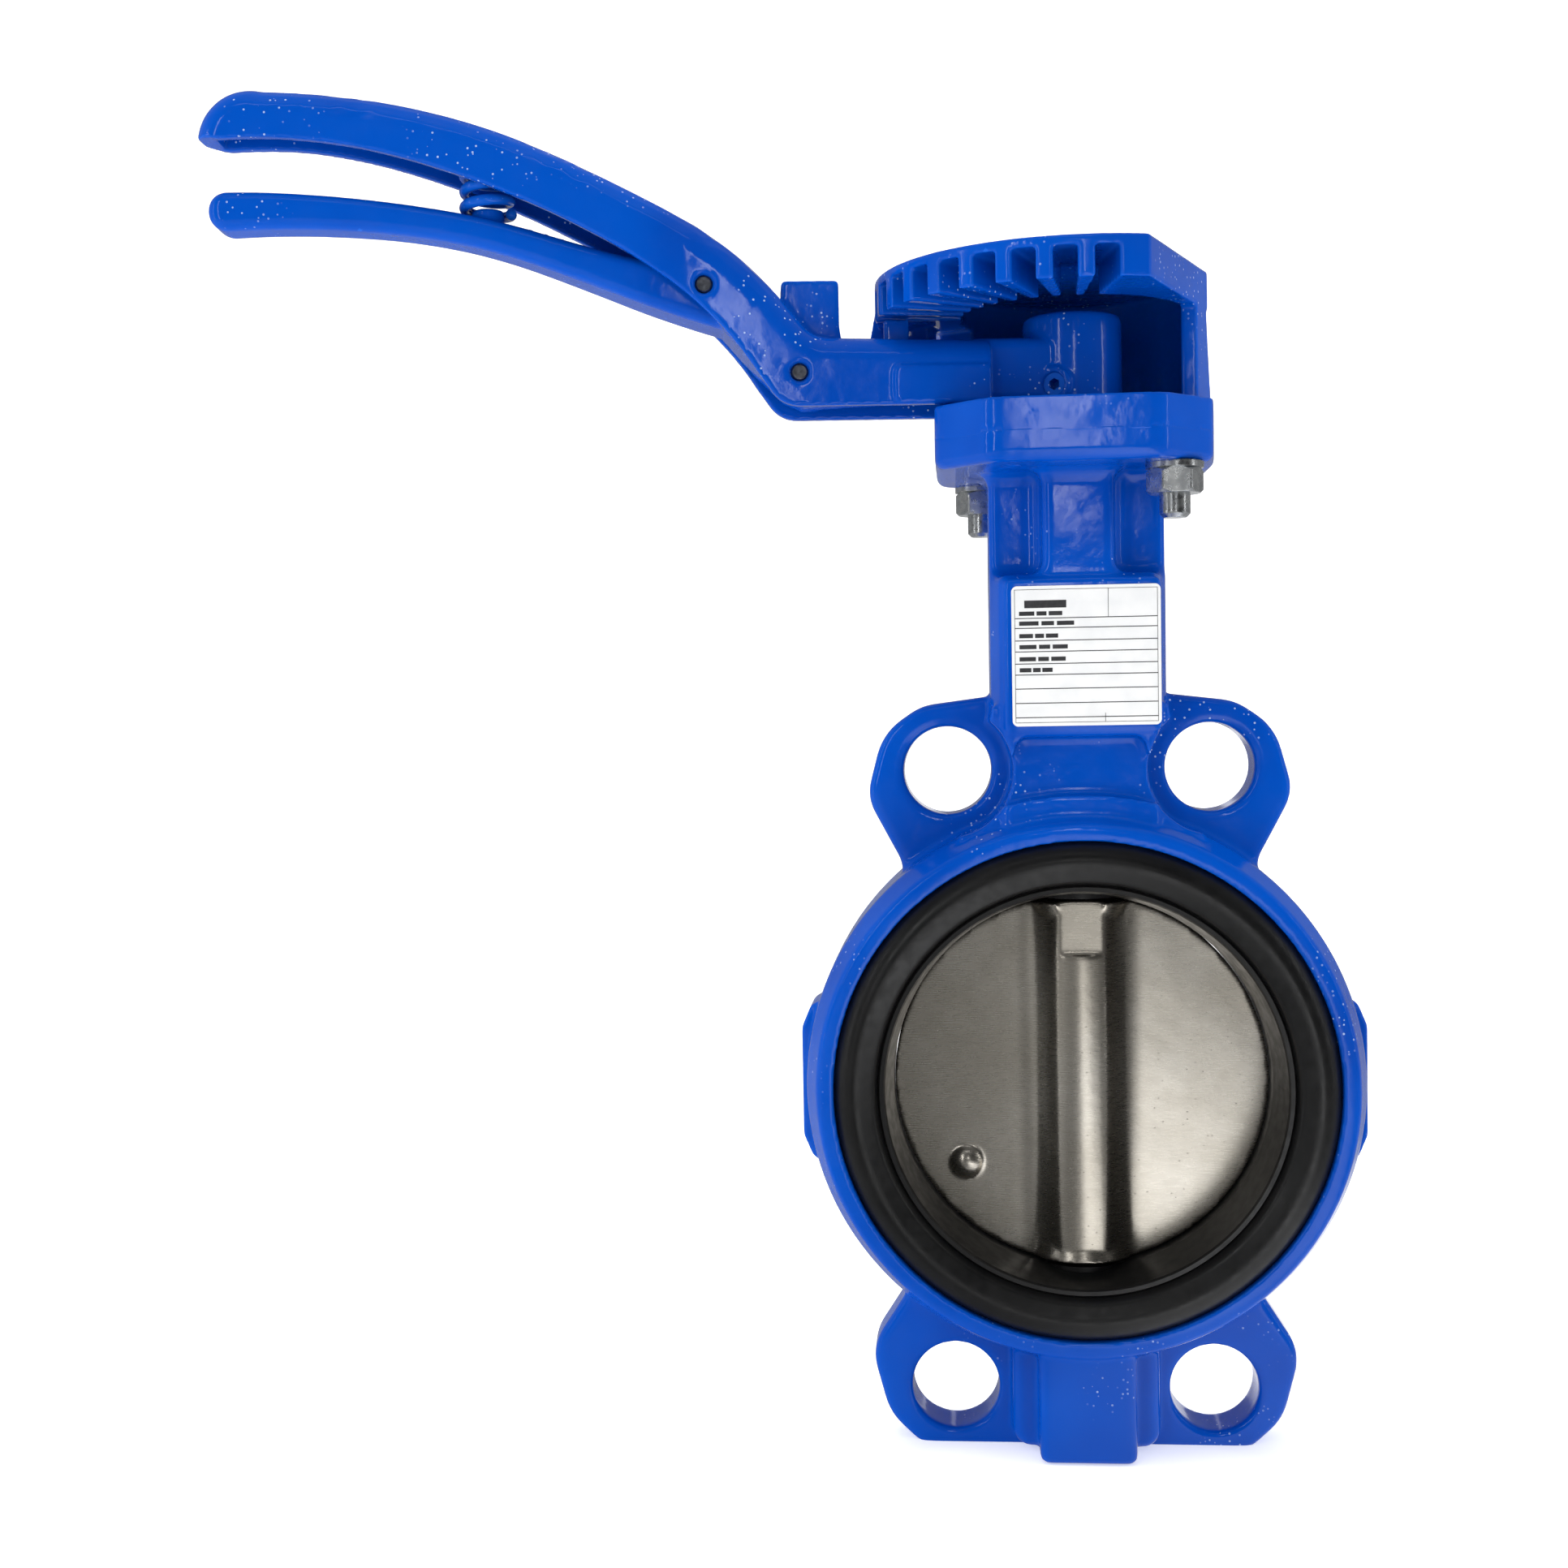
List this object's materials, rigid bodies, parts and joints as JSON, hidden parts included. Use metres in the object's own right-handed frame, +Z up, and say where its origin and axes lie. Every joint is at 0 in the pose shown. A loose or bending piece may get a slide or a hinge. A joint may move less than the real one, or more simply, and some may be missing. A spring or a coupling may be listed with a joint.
{
  "type": "butterfly valve",
  "caption": "Wafer butterfly valve for a 100 mm pipe: lugged cast body, rubber liner, stainless disc, and a notched hand lever with squeeze latch.",
  "frame": {"origin": "centre of the disc, on the pipe axis and the stem axis", "axes": "+Z up along the stem towards the lever, Y along the pipe with the nameplate side towards -Y, closed lever towards -X"},
  "size_m": [0.31, 0.092, 0.3746],
  "materials": {
    "cast_body": "gloss epoxy over cast iron",
    "cast_bracket": "gloss epoxy over cast iron",
    "cast_lever": "gloss epoxy over cast iron",
    "painted_spring": "gloss paint over spring steel",
    "liner": "matt black EPDM",
    "disc": "satin cast stainless",
    "stem": "turned stainless",
    "bush": "plain bronze",
    "seal": "matt black",
    "zinc": "bright zinc plate",
    "spring_steel": "phosphated",
    "black_steel": "black oxide",
    "pin_steel": "plain steel",
    "plate": "satin white film"
  },
  "bodies": {
    "valve_body": {"body": "cast_body", "seat_liner": "liner", "neck_bush_lower": "bush", "neck_bush_upper": "bush", "lower_stem_bush": "bush", "stem_o_rings": "seal", "stem_dust_seal": "seal", "thrust_washer": "zinc", "bottom_plug": "zinc", "plug_gasket": "seal", "notch_bracket": "cast_bracket", "bracket_studs": "zinc", "bracket_washers": "zinc", "bracket_nuts": "zinc", "rating_plate": "plate"},
    "rotor": {"disc": "disc", "upper_stem": "stem", "lower_stem": "stem", "stem_circlip": "spring_steel", "lever_handle": "cast_lever", "lever_grub_screw": "black_steel", "trigger_pivot_pin": "pin_steel", "trigger_stop_pin": "pin_steel", "return_spring": "painted_spring"},
    "trigger": {"trigger_lever": "cast_lever"}
  },
  "joints": [
    {"name": "stem_turn", "type": "hinge", "parent": "valve_body", "child": "rotor", "pos_m": [0, 0, 0], "axis": [0, 0, 1], "range_deg": [0, 90]},
    {"name": "trigger_squeeze", "type": "hinge", "parent": "rotor", "child": "trigger", "pos_m": [-0.09926, -0.01131, 0.2157], "axis": [-0.1132, 0.9936, 0], "range_deg": [0, 5], "deforming": ["return_spring"]}
  ]
}
